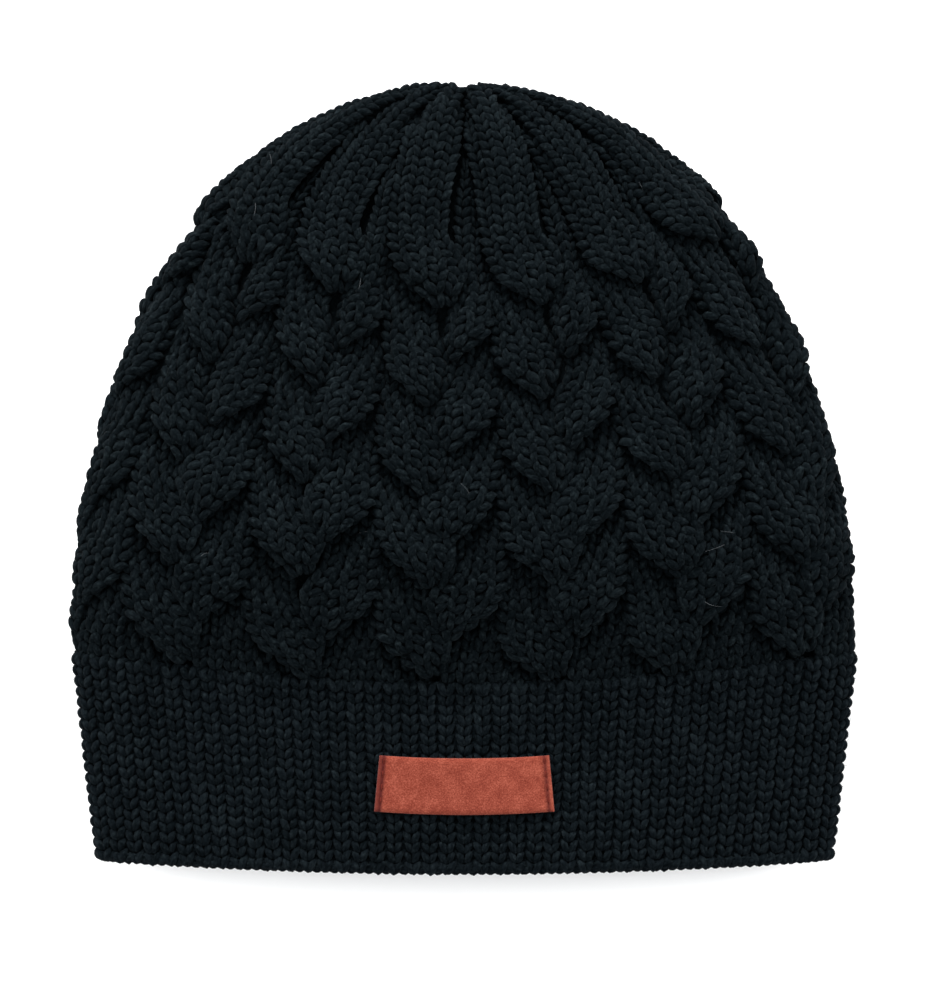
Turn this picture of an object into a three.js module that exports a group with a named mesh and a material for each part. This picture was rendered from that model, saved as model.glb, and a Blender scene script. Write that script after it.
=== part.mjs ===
// A knit beanie lying flat on a surface with its front up: a basket-cable body on a ribbed band, drawn
// together at the crown, with a sewn-on label, a seam down the inside of the back and a care label in it.
// Millimetres: +X across the hat, +Y from the mouth to the crown, +Z up. The origin is the middle of the
// footprint, on the surface. "Height" below always means the distance from the mouth edge along +Y.
import * as THREE from 'three';
import { ParametricGeometry } from 'three/addons/geometries/ParametricGeometry.js';

// Outline of the flat hat
const MAX_WIDTH = 220;
const MOUTH_WIDTH = 206;
const LENGTH = 220;
const BAND_LENGTH = 52;
const WIDEST_HEIGHT = 60;
const OUTLINE_ROUNDNESS = 2.2;
const CROWN_LENGTH = LENGTH - WIDEST_HEIGHT;

// Thickness of the flat hat and of its knitted walls
const BAND_THICKNESS = 20;
const BODY_THICKNESS = 30;
const PUFF_FROM = 44;
const PUFF_TO = 96;
const BODY_WALL = 5;
const BAND_WALL = 4.2;
const FOLD_HEIGHT = 9;
const SECTION_ROUNDNESS = 2.6;
const UNDERSIDE_SAG = 1.3;

// How much higher a course of stitches stands at the side folds than at the middle of the hat
const MOUTH_COURSE_RISE = 3.4;
const WIDEST_COURSE_RISE = 9.6;
const COURSE_CURVE = 1.8;

// Knitting: ribs around the band and gathers around the crown, counted over front and back
const RIB_COUNT = 88;
const RIB_DEPTH = 0.7;
const GATHER_COUNT = 26;
const GATHER_DEPTH = 2.2;
const GATHER_FROM = 150;
const GATHER_TO = 195;
const GATHER_FADE = 0.35;

// Mesh steps
const BODY_TURN_STEPS = 4 * GATHER_COUNT;
const BAND_TURN_STEPS = 2 * RIB_COUNT;
const OUTER_ROWS = 14;
const INNER_ROWS = 7;
const CROWN_SHARE = 0.93;

// Clearance between pieces that touch on the real hat
const GAP = 0.3;

// Label on the front of the band
const LABEL_TOP_WIDTH = 47;
const LABEL_BOTTOM_WIDTH = 50;
const LABEL_HEIGHT = 16;
const LABEL_BOW = 0.9;
const LABEL_THICKNESS = 1.3;
const LABEL_CENTRE_HEIGHT = 23.5;
const LABEL_STITCH_INSET = 2;
const STITCH_PITCH = 2;
const STITCH_HOLES = 7;
const STITCH_HOLE_RADIUS = 0.75;
const THREAD_RADIUS = 0.25;

// Seam along the inside of the centre back
const SEAM_WIDTH = 5;
const SEAM_RISE = 2.4;
const SEAM_FROM = 4;
const SEAM_TO = 188;
const SEAM_THREAD_RADIUS = 0.35;
const SEAM_THREAD_PITCH = 8;

// Yarn that gathers the crown, its knot and its loose end
const YARN_RADIUS = 0.8;
const DRAWN_RING_RADIUS = 2.4;
const DRAWN_RING_FLATTENING = 0.5;
const DRAWN_RING_HEIGHT = 206;
const KNOT_HEIGHT = 200.5;
const KNOT_RADIUS = 1.1;

// Care label, a folded ribbon held in the seam
const CARE_LABEL_LENGTH = 28;
const CARE_LABEL_WIDTH = 18;
const CARE_LABEL_THICKNESS = 0.9;
const CARE_LABEL_HEIGHT = 78;
const CARE_TACK_STITCHES = 6;

const smoothstep = THREE.MathUtils.smoothstep;
const lerp = THREE.MathUtils.lerp;

const materials = {
  cableKnit: { color: 0x0d1215, roughness: 0.95, metalness: 0 },
  ribKnit: { color: 0x101519, roughness: 0.95, metalness: 0 },
  sewingThread: { color: 0x1a2024, roughness: 0.7, metalness: 0 },
  suede: { color: 0xa6503f, roughness: 0.85, metalness: 0 },
  labelThread: { color: 0x8f4234, roughness: 0.6, metalness: 0 },
  satin: { color: 0xe6e4de, roughness: 0.4, metalness: 0 },
};

function y(height) {
  return height - LENGTH / 2;
}

function signedPower(value, power) {
  return Math.sign(value) * Math.pow(Math.abs(value), power);
}

// 1 up to the widest course and 0 at the crown point, following a superellipse
function closing(height, inset) {
  const rise = Math.max(0, height - WIDEST_HEIGHT) / (CROWN_LENGTH - inset);
  const rest = Math.max(0, 1 - Math.pow(rise, OUTLINE_ROUNDNESS));
  return Math.pow(rest, 1 / OUTLINE_ROUNDNESS);
}

// Height above the surface of the front layer, along the middle of the hat, before the crown closes
function frontRise(height) {
  return lerp(BAND_THICKNESS, BODY_THICKNESS, smoothstep(height, PUFF_FROM, PUFF_TO));
}

// Rise of a course at the side folds: course is its height at the middle of the hat
function courseRise(course, inset) {
  if (course < WIDEST_HEIGHT) {
    return lerp(MOUTH_COURSE_RISE, WIDEST_COURSE_RISE, course / WIDEST_HEIGHT);
  }
  return WIDEST_COURSE_RISE * (1 - (course - WIDEST_HEIGHT) / (CROWN_LENGTH - inset));
}

// A point of the knitted wall. turn runs once around the hat from its right fold over the front, course is
// the height at the middle of the hat of the course it lies on, and inset is the depth below the outer
// surface. The underside lies flat on the surface.
function wallPoint(turn, course, inset, target) {
  const angle = 2 * Math.PI * turn;
  const across = signedPower(Math.cos(angle), 2 / SECTION_ROUNDNESS);
  const up = signedPower(Math.sin(angle), 2 / SECTION_ROUNDNESS);
  const height = course + courseRise(course, inset) * Math.pow(Math.abs(across), COURSE_CURVE);
  const close = closing(height, inset);
  const halfWidth = lerp(MOUTH_WIDTH, MAX_WIDTH, Math.min(1, height / WIDEST_HEIGHT)) / 2;
  const above = frontRise(height) - FOLD_HEIGHT - inset;
  const below = (FOLD_HEIGHT - inset) * UNDERSIDE_SAG;
  const reach = up > 0 ? above : below;
  const z = Math.max(inset, FOLD_HEIGHT + reach * up * close);
  return target.set((halfWidth - inset) * close * across, y(height), z);
}

// Moves a point of the outer surface inwards, as a groove between two ribs or gathers does
function sink(point, turn, depth) {
  const angle = 2 * Math.PI * turn;
  point.x -= depth * Math.cos(angle);
  point.z = Math.max(0, point.z - depth * Math.sin(angle));
}

// Groove depth from 0 on a ridge to 1 midway between two ridges
function groove(turn, count) {
  return (1 - Math.cos(2 * Math.PI * turn * count)) / 2;
}

// Height of a row of the body's wall: share is 0 at the crown point and 1 at the band
function bodyRowHeight(share, inset) {
  const lowest = BAND_LENGTH + GAP / 2;
  if (share > CROWN_SHARE) {
    return lerp(WIDEST_HEIGHT, lowest, (share - CROWN_SHARE) / (1 - CROWN_SHARE));
  }
  const angle = (Math.PI / 2) * (1 - share / CROWN_SHARE);
  const rise = Math.pow(Math.sin(angle), 2 / OUTLINE_ROUNDNESS);
  return WIDEST_HEIGHT + (CROWN_LENGTH - inset) * rise;
}

function bodyGeometry() {
  const rows = OUTER_ROWS + 1 + INNER_ROWS;
  function point(turn, v, target) {
    const row = v * rows;
    if (row <= OUTER_ROWS) {
      const height = bodyRowHeight(row / OUTER_ROWS, 0);
      const fade = Math.min(1, closing(height, 0) / GATHER_FADE);
      const depth = GATHER_DEPTH * smoothstep(height, GATHER_FROM, GATHER_TO) * fade;
      wallPoint(turn, height, 0, target);
      sink(target, turn, depth * groove(turn, GATHER_COUNT));
    } else {
      wallPoint(turn, bodyRowHeight((rows - row) / INNER_ROWS, BODY_WALL), BODY_WALL, target);
    }
  }
  return new ParametricGeometry(point, BODY_TURN_STEPS, rows);
}

// The band's wall in section, as [inset, height] once around: outside, rounded mouth edge, inside
function bandGeometry() {
  const top = BAND_LENGTH - GAP / 2;
  const edge = 3;
  const section = [
    [0, top],
    [0, BAND_LENGTH / 2],
    [0, edge],
    [0.3 * BAND_WALL, 0],
    [0.7 * BAND_WALL, 0],
    [BAND_WALL, edge],
    [BAND_WALL, top],
    [0, top],
  ];
  const rows = section.length - 1;
  function point(turn, v, target) {
    const row = Math.min(rows - 1, Math.floor(v * rows));
    const part = v * rows - row;
    const inset = lerp(section[row][0], section[row + 1][0], part);
    const height = lerp(section[row][1], section[row + 1][1], part);
    wallPoint(turn, height, inset, target);
    sink(target, turn, inset > 0 ? 0 : RIB_DEPTH * groove(turn, RIB_COUNT));
  }
  return new ParametricGeometry(point, BAND_TURN_STEPS, rows);
}

// Inner face of the back layer, along the middle of the hat
function backFloor(height) {
  const wall = height < BAND_LENGTH ? BAND_WALL : BODY_WALL;
  const raised = FOLD_HEIGHT - (FOLD_HEIGHT - wall) * UNDERSIDE_SAG * closing(height, wall);
  return Math.max(wall, raised);
}

// A round thread or yarn along a smooth path
function threadGeometry(points, radius, steps, sides = 6) {
  const section = new THREE.Shape();
  for (let i = 0; i < sides; i += 1) {
    const angle = (2 * Math.PI * i) / sides;
    const corner = [radius * Math.cos(angle), radius * Math.sin(angle)];
    if (i === 0) {
      section.moveTo(...corner);
    } else {
      section.lineTo(...corner);
    }
  }
  const extrudePath = new THREE.CatmullRomCurve3(points);
  return new THREE.ExtrudeGeometry(section, { steps, extrudePath });
}

// The seam's side view in (height, z), extruded across its width
function seamGeometry() {
  const lower = BODY_WALL + GAP;
  const bandEnd = BAND_LENGTH + 1;
  const side = new THREE.Shape();
  const rising = [0.9 * SEAM_TO, 0.95 * SEAM_TO, SEAM_TO];
  side.moveTo(SEAM_FROM, BAND_WALL + GAP);
  side.lineTo(BAND_LENGTH - 1, BAND_WALL + GAP);
  side.lineTo(bandEnd, lower);
  rising.forEach((height) => side.lineTo(height, backFloor(height) + GAP));
  rising.reverse().forEach((height) => side.lineTo(height, backFloor(height) + GAP + SEAM_RISE));
  side.lineTo(bandEnd, lower + SEAM_RISE);
  side.lineTo(BAND_LENGTH - 1, BAND_WALL + GAP + SEAM_RISE);
  side.lineTo(SEAM_FROM, BAND_WALL + GAP + SEAM_RISE);
  const alongHat = new THREE.Vector3(0, 1, 0);
  const up = new THREE.Vector3(0, 0, 1);
  const across = new THREE.Vector3(1, 0, 0);
  const standing = new THREE.Matrix4().makeBasis(alongHat, up, across);
  return new THREE.ExtrudeGeometry(side, { depth: SEAM_WIDTH, bevelEnabled: false }).applyMatrix4(standing);
}

function seamThreadGeometry() {
  const reach = 0.35 * SEAM_WIDTH;
  const points = [];
  for (let height = SEAM_FROM + 3; height < SEAM_TO - 3; height += SEAM_THREAD_PITCH / 2) {
    const side = points.length % 2 ? reach : -reach;
    const floor = height < BAND_LENGTH - SEAM_THREAD_PITCH ? BAND_WALL : backFloor(height + 4);
    const z = Math.max(floor, backFloor(height)) + SEAM_RISE + 2 * GAP + SEAM_THREAD_RADIUS;
    points.push(new THREE.Vector3(side, y(height), z));
  }
  return threadGeometry(points, SEAM_THREAD_RADIUS, 2 * points.length, 5);
}

function labelStitchX(side) {
  return side * (LABEL_BOTTOM_WIDTH + LABEL_TOP_WIDTH) / 4 - side * LABEL_STITCH_INSET;
}

function labelStitchY(index) {
  return (index - (STITCH_HOLES - 1) / 2) * STITCH_PITCH;
}

// A slightly tapered plate with bowed long edges and two rows of needle holes
function labelGeometry() {
  const bottom = LABEL_BOTTOM_WIDTH / 2;
  const top = LABEL_TOP_WIDTH / 2;
  const half = LABEL_HEIGHT / 2;
  const outline = new THREE.Shape();
  outline.moveTo(-bottom, -half);
  outline.quadraticCurveTo(0, -half - 2 * LABEL_BOW, bottom, -half);
  outline.lineTo(top, half);
  outline.quadraticCurveTo(0, half - 2 * LABEL_BOW, -top, half);
  outline.closePath();
  [-1, 1].forEach((side) => {
    for (let i = 0; i < STITCH_HOLES; i += 1) {
      const hole = new THREE.Path();
      hole.absarc(labelStitchX(side), labelStitchY(i), STITCH_HOLE_RADIUS, 0, 2 * Math.PI, true);
      outline.holes.push(hole);
    }
  });
  return new THREE.ExtrudeGeometry(outline, {
    depth: LABEL_THICKNESS,
    bevelEnabled: false,
    curveSegments: 8,
  });
}

// One running stitch that passes through every hole of a row, above and below the label in turn
function labelThreadGeometry(side) {
  const swing = LABEL_THICKNESS / 2 + GAP + THREAD_RADIUS;
  const stepsPerStitch = 8;
  const stitches = STITCH_HOLES;
  const points = [];
  for (let i = 0; i <= stitches * stepsPerStitch; i += 1) {
    const stitch = i / stepsPerStitch;
    const along = labelStitchY(stitch - 0.5);
    const up = swing * Math.cos(Math.PI * stitch);
    points.push(new THREE.Vector3(labelStitchX(side), along, LABEL_THICKNESS / 2 + up));
  }
  return threadGeometry(points, THREAD_RADIUS, points.length, 5);
}

function careLabelGeometry() {
  return new THREE.BoxGeometry(CARE_LABEL_LENGTH, CARE_LABEL_WIDTH, CARE_LABEL_THICKNESS);
}

// A bar tack across the held end of the care label
function careTackGeometry() {
  const points = [];
  for (let i = 0; i <= 2 * CARE_TACK_STITCHES; i += 1) {
    const along = (i / (2 * CARE_TACK_STITCHES) - 0.5) * 0.85 * CARE_LABEL_WIDTH;
    points.push(new THREE.Vector3(i % 2 ? 0.6 : -0.6, along, 0));
  }
  return threadGeometry(points, THREAD_RADIUS, 2 * points.length, 5);
}

function looseEndGeometry() {
  const rest = backFloor(KNOT_HEIGHT) + GAP + YARN_RADIUS;
  const route = [
    new THREE.Vector3(4, y(198), rest),
    new THREE.Vector3(8, y(193), rest),
    new THREE.Vector3(10, y(186), rest - 0.2),
    new THREE.Vector3(16, y(180), rest - 0.4),
    new THREE.Vector3(18, y(173), rest - 0.4),
  ];
  return threadGeometry(route, YARN_RADIUS, 16);
}

function piece(name, geometry, material, place = [0, 0, 0]) {
  const mesh = new THREE.Mesh(geometry, new THREE.MeshStandardMaterial(materials[material]));
  mesh.name = name;
  mesh.position.set(...place);
  return mesh;
}

// The knitted fabric: body and band
const knit = new THREE.Group();
knit.add(piece('cable_body', bodyGeometry(), 'cableKnit'));
knit.add(piece('rib_band', bandGeometry(), 'ribKnit'));

// The seam and the care label it holds
const backSeam = new THREE.Group();
const careLabelX = SEAM_WIDTH / 2 + GAP + CARE_LABEL_LENGTH / 2;
const careLabelZ = BODY_WALL + GAP + CARE_LABEL_THICKNESS / 2;
const careTackX = SEAM_WIDTH / 2 + GAP + 2;
const careTackZ = careLabelZ + CARE_LABEL_THICKNESS / 2 + GAP + THREAD_RADIUS;
backSeam.add(piece('back_seam', seamGeometry(), 'cableKnit', [-SEAM_WIDTH / 2, y(0), 0]));
backSeam.add(piece('back_seam_thread', seamThreadGeometry(), 'sewingThread'));
backSeam.add(piece('care_label', careLabelGeometry(), 'satin', [careLabelX, y(CARE_LABEL_HEIGHT), careLabelZ]));
backSeam.add(
  piece('care_label_tack', careTackGeometry(), 'sewingThread', [careTackX, y(CARE_LABEL_HEIGHT), careTackZ]),
);

// The yarn that draws the crown together, with its knot and its loose end inside
const crown = new THREE.Group();
const drawnYarn = piece(
  'crown_drawn_yarn',
  new THREE.TorusGeometry(DRAWN_RING_RADIUS, YARN_RADIUS, 8, 20),
  'cableKnit',
  [0, y(DRAWN_RING_HEIGHT), FOLD_HEIGHT + 0.4],
);
drawnYarn.rotation.x = Math.PI / 2;
drawnYarn.scale.y = DRAWN_RING_FLATTENING;
const knot = piece(
  'crown_knot',
  new THREE.TorusKnotGeometry(KNOT_RADIUS, 0.4 * YARN_RADIUS, 36, 6, 2, 3),
  'cableKnit',
  [0, y(KNOT_HEIGHT), FOLD_HEIGHT],
);
crown.add(drawnYarn);
crown.add(knot);
crown.add(piece('crown_yarn_end', looseEndGeometry(), 'cableKnit'));

// The label and the thread at its two ends
const label = new THREE.Group();
const threadSwing = LABEL_THICKNESS / 2 + GAP + 2 * THREAD_RADIUS;
label.position.set(0, y(LABEL_CENTRE_HEIGHT), BAND_THICKNESS + GAP + threadSwing - LABEL_THICKNESS / 2);
label.add(piece('label_patch', labelGeometry(), 'suede'));
label.add(piece('label_stitches_left', labelThreadGeometry(-1), 'labelThread'));
label.add(piece('label_stitches_right', labelThreadGeometry(1), 'labelThread'));

const beanie = new THREE.Group();
beanie.add(knit, backSeam, crown, label);

export default beanie;
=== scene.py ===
import math

import bpy
import numpy as np
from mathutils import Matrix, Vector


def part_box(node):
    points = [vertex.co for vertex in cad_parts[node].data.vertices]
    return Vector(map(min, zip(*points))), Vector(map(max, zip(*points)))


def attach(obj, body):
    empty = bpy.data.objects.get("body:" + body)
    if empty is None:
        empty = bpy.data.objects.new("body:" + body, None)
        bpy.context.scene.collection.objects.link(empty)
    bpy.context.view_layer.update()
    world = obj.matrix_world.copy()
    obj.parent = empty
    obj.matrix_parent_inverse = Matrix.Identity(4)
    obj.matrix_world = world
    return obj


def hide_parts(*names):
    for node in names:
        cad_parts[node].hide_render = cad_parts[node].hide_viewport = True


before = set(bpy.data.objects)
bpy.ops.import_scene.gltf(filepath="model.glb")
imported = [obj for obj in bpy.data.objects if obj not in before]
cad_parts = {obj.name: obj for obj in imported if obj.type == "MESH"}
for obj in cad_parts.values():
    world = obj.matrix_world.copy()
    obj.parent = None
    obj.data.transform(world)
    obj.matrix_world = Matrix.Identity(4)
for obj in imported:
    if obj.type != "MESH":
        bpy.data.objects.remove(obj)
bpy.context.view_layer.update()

MM = 0.001
rng = np.random.default_rng(20)


def box_mm(node):
    low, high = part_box(node)
    return np.array(low) / MM, np.array(high) / MM


BODY_LOW, BODY_HIGH = box_mm("cable_body")
BAND_LOW, _ = box_mm("rib_band")
LABEL_LOW, LABEL_HIGH = box_mm("label_patch")
SEAM_LOW, SEAM_HIGH = box_mm("back_seam")

# Outline of the flat hat, with the same formulas as the CAD walls
LENGTH = BODY_HIGH[1] - BAND_LOW[1]
MAX_WIDTH = BODY_HIGH[0] - BODY_LOW[0]
MOUTH_WIDTH = 206.0
BAND_LENGTH = 52.0
WIDEST_HEIGHT = 60.0
ROUNDNESS = 2.2
CROWN_LENGTH = LENGTH - WIDEST_HEIGHT
BAND_THICKNESS = 20.0
BODY_THICKNESS = 30.0
PUFF_FROM, PUFF_TO = 44.0, 96.0
FOLD_HEIGHT = 9.0
SECTION_ROUNDNESS = 2.6
UNDERSIDE_SAG = 1.3
BODY_WALL = 5.0
BAND_WALL = 4.2

# How far a course stands higher at the side folds than at the middle, by its height at the middle
COURSE_RISE = [(0, 3.4), (64, 10.5), (92, 14), (117, 20), (154, 27), (185, 26), (205, 14), (220, 0)]
RISE_POWER = 1.8

# Knitting of the body: columns of four wales. Each column is a stack of cells, and the lower edge of every
# cell lies over the top of the cell below. The edge climbs to the right in half of the columns and to the
# left in the others.
WALES = 104
COLUMN = 4
COLUMNS = WALES // COLUMN
COLUMN_SHIFT = 0.32
COURSE = 2.85
COLUMN_WANDER = ((0.18, 13), (0.12, 6))
CELL_LENGTH = 25.9
RIGHT_TIPS = 65.0 + CELL_LENGTH * np.arange(4)
LEFT_TIPS = 53.5 + CELL_LENGTH * np.arange(5)
TIP_SPREAD = 0.6

# Lower edge of a cell: the wale of its tip, how steeply it climbs beyond a flat start, and how it curls up
# on the near side
TIP_WALE = -1.1
EDGE_RISE = 4.5
EDGE_FLAT = 0.35
EDGE_CUP = 2.0
EDGE_POWER = 0.85
CELL_START = 1.3

# The four wales of a cell, from the one at its tip to the far one. HIDDEN_LENGTH is how far each runs on
# under the next cell. The others are sideways shifts in wales: at the cell's start, at the middle of the
# bow, where it leaves the cell, and for its lean. Stitches are wider where the wales bow.
HIDDEN_LENGTH = (4.5, 5.5, 8.0, 11.0)
LAST_HIDDEN_LONGER = 5.0
CELL_START_SHIFT = (0.15, 0.4, 0.6, 0.7)
CELL_BULGE = (-0.72, -0.5, -0.26, 0.0)
CELL_TAIL = (0.38, 0.52, 0.64, 0.72)
CELL_LEAN = (0.36, 0.28, 0.2, 0.12)
CELL_SKEW = 0.3
FAR_SKEW = 0.02
BOW_LENGTH = 18
LEAN_LENGTH = 20
TAIL_LENGTH = 15
STITCH_SWELL = 0.27

# Lift of a cell's near and far wale above the hat's surface, by the distance from where the cell starts
NEAR_LIFT = [(0, 0.6), (3, 2.1), (9, 2.0), (15, 0.6), (21, -0.9), (25, -1.9), (29, -2.4)]
FAR_LIFT = [(0, 1.6), (3, 1.7), (8, 0.8), (14, 0.3), (20, 0.1), (26, -1.3), (36, -2.1)]
LAST_CELL_LIFT = 1.15
FOLD_FLATTENING = 0.35
COLUMN_ARCH = 0.13
DEEPEST_ARCH = 1.4

# The crown: every other column is a ridge that keeps its width, and the others are drawn in between them.
# Each range of courses says where a change begins and where it is complete.
CROWN_FROM, CROWN_TO = 160.0, 175.0
SWELL_FROM, SWELL_TO = 150, 190
CROWN_COURSE = 2.7
CROWN_PUFF = 1.6
PUFF_SPREAD = 1.0
CROWN_CREASE = 2.3
RIDGE_WIDTH = 17.6
RIDGES_FROM, RIDGES_TO = 128, 166
DECREASES_FROM, DECREASES_TO = 212, 218
VALLEY_DROP = 2.2
PAIRED_DROP = 2.0
NARROWEST_COLUMN = 0.5
NARROWEST_KNITTED = 2.2
LAST_COURSE = 219.3
SHORTEST_WALE = 2

STITCH_WIDTH = 4.35
WIDEST_STITCH = 5.6
NARROWEST_STITCH = 1.5
NARROWEST_RIDGE_STITCH = 1.9
THICKEST_STITCH = 2.1
BODY_INSET_FRONT = 1.5
BODY_INSET_BACK = 3.0

# Knitting of the band: one knit wale beside one purl wale
RIBS = 88
BAND_COURSE = 2.73
RIB_WIDTH = 4.4
RIB_THICKNESS = 2.3


# ---------------- shape of the knitted walls


def smoothstep(value, start, end):
    share = np.clip((value - start) / (end - start), 0, 1)
    return share * share * (3 - 2 * share)


def signed_power(value, power):
    return np.sign(value) * np.abs(value) ** power


def closing(height):
    rise = np.maximum(0, height - WIDEST_HEIGHT) / CROWN_LENGTH
    return np.maximum(0, 1 - rise**ROUNDNESS) ** (1 / ROUNDNESS)


def outline_half_width(height):
    return (MOUTH_WIDTH + (MAX_WIDTH - MOUTH_WIDTH) * np.minimum(1, height / WIDEST_HEIGHT)) / 2


def section_outline(height, angle):
    """x and z of the hat's outer surface at a height, at angles that start at the top of the front."""
    close = closing(height)
    half_width = outline_half_width(height)
    front = BAND_THICKNESS + (BODY_THICKNESS - BAND_THICKNESS) * smoothstep(height, PUFF_FROM, PUFF_TO)
    across = signed_power(np.sin(angle), 2 / SECTION_ROUNDNESS)
    up = signed_power(np.cos(angle), 2 / SECTION_ROUNDNESS)
    reach = np.where(up > 0, front - FOLD_HEIGHT, FOLD_HEIGHT * UNDERSIDE_SAG)
    x = half_width * close * across
    z = np.maximum(0, FOLD_HEIGHT + reach * up * close)
    return x, z


TURN_STEPS = 4 * 208
crown_turn = np.linspace(0, math.pi / 2, 200)
HEIGHTS = np.concatenate(
    [np.arange(0, WIDEST_HEIGHT, 1.5), WIDEST_HEIGHT + CROWN_LENGTH * np.sin(crown_turn) ** (2 / ROUNDNESS)]
)


def wall_table():
    """Outer surface on a grid of heights and equal shares of the way around, and the way around each."""
    angle = np.linspace(0, 2 * math.pi, 2400)
    shares = np.linspace(0, 1, TURN_STEPS + 1)
    points = np.zeros((len(HEIGHTS), TURN_STEPS + 1, 3))
    girth = np.zeros(len(HEIGHTS))
    for i, height in enumerate(HEIGHTS):
        x, z = section_outline(height, angle)
        way = np.concatenate([[0], np.cumsum(np.hypot(np.diff(x), np.diff(z)))])
        girth[i] = way[-1]
        at = shares * way[-1]
        points[i, :, 0] = np.interp(at, way, x) if way[-1] > 0 else 0
        points[i, :, 1] = height - LENGTH / 2
        points[i, :, 2] = np.interp(at, way, z) if way[-1] > 0 else FOLD_HEIGHT
    return points, girth


WALL, GIRTH = wall_table()


def course_rise(course):
    heights, rises = np.array(COURSE_RISE, float).T
    fine = np.arange(-20, LENGTH + 21, 1.0)
    raw = np.interp(fine, heights, rises)
    soft = np.convolve(raw, np.hanning(17) / np.hanning(17).sum(), mode="same")
    return np.interp(course, fine, np.where((fine < 12) | (fine > LENGTH - 9), raw, soft))


def fold_share(wale):
    """0 at the middles of front and back and 1 at the side folds."""
    fine = np.linspace(-WALES, WALES, 8 * WALES + 1)
    near = np.abs((fine + WALES / 4) % (WALES / 2) - WALES / 4) / (WALES / 4)
    raw = near**RISE_POWER
    soft = np.convolve(raw, np.hanning(25) / np.hanning(25).sum(), mode="same")
    return np.interp(wrapped(wale), fine, soft)


def wrapped(wale):
    return (np.asarray(wale) + WALES / 2) % WALES - WALES / 2


def height_of(wale, course):
    return np.clip(course + course_rise(course) * fold_share(wale), 0, LENGTH)


def surface(wale, course):
    """Outer surface where a wale meets a course."""
    row = np.interp(height_of(wale, course), HEIGHTS, np.arange(len(HEIGHTS)))
    turn = (np.asarray(wale) / WALES % 1) * TURN_STEPS
    r0 = np.minimum(row.astype(int), len(HEIGHTS) - 2)
    t0 = np.minimum(turn.astype(int), TURN_STEPS - 1)
    fr = (row - r0)[..., None]
    ft = (turn - t0)[..., None]
    low = WALL[r0, t0] * (1 - ft) + WALL[r0, t0 + 1] * ft
    high = WALL[r0 + 1, t0] * (1 - ft) + WALL[r0 + 1, t0 + 1] * ft
    return low * (1 - fr) + high * fr


def unit(vectors):
    return vectors / np.maximum(np.linalg.norm(vectors, axis=-1, keepdims=True), 1e-9)


def square_to(along, out):
    """The unit direction nearest to out that is at a right angle to along."""
    return unit(out - along * np.sum(out * along, -1, keepdims=True))


def way_along(points):
    """Distance along a line at each of its points."""
    return np.concatenate([[0], np.cumsum(np.linalg.norm(np.diff(points, axis=0), axis=-1))])


def sample(at, places, values):
    """Values along a line, or points of it, read at other places along it."""
    if values.ndim == 1:
        return np.interp(at, places, values)
    return np.stack([np.interp(at, places, values[:, i]) for i in range(3)], -1)


def outward(wale, course):
    """Outward direction of the wall where a wale meets a course."""
    course = np.minimum(course, LENGTH - 2.5)
    across = surface(wale + 0.5, course) - surface(wale - 0.5, course)
    along = surface(wale, course + 0.8) - surface(wale, course - 0.8)
    return unit(np.cross(across, along))


def wale_pitch(wale, course):
    return np.interp(height_of(wale, course), HEIGHTS, GIRTH) / WALES


def settle(points):
    """Presses what would reach below the surface that the hat lies on flat against it."""
    soft = 0.9
    z = points[..., 2]
    points[..., 2] = np.where(z < soft, soft * np.exp(np.minimum(0, z - soft) / soft), z)
    return points


# ---------------- meshes


def mesh_object(name, points, quads, material):
    mesh = bpy.data.meshes.new(name)
    points = np.asarray(points, np.float32).reshape(-1, 3) * MM
    quads = np.asarray(quads, np.int32).reshape(-1, 4)
    mesh.vertices.add(len(points))
    mesh.vertices.foreach_set("co", points.ravel())
    mesh.loops.add(quads.size)
    mesh.loops.foreach_set("vertex_index", quads.ravel())
    mesh.polygons.add(len(quads))
    mesh.polygons.foreach_set("loop_start", np.arange(0, quads.size, 4, dtype=np.int32))
    mesh.polygons.foreach_set("use_smooth", np.full(len(quads), True))
    mesh.update(calc_edges=True)
    mesh.materials.append(material)
    piece = bpy.data.objects.new(name, mesh)
    bpy.context.scene.collection.objects.link(piece)
    return piece


def add_uv(mesh, name, values):
    layer = mesh.uv_layers.new(name=name)
    layer.data.foreach_set("uv", np.asarray(values, np.float32).ravel())


BAKE_MARGIN = 0.07


def add_bake_uv(mesh, cell_uv, count):
    """A square grid of cells, one for each of the equal parts that the mesh is made of."""
    grid = math.ceil(math.sqrt(count))
    corner = np.stack([np.arange(count) % grid, np.arange(count) // grid], -1)[:, None, None]
    add_uv(mesh, "OFBake", (corner + BAKE_MARGIN + (1 - 2 * BAKE_MARGIN) * cell_uv[None]) / grid)


def add_shade(mesh, values):
    attribute = mesh.attributes.new("shade", "FLOAT", "POINT")
    attribute.data.foreach_set("value", np.asarray(values, np.float32).ravel())


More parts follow.
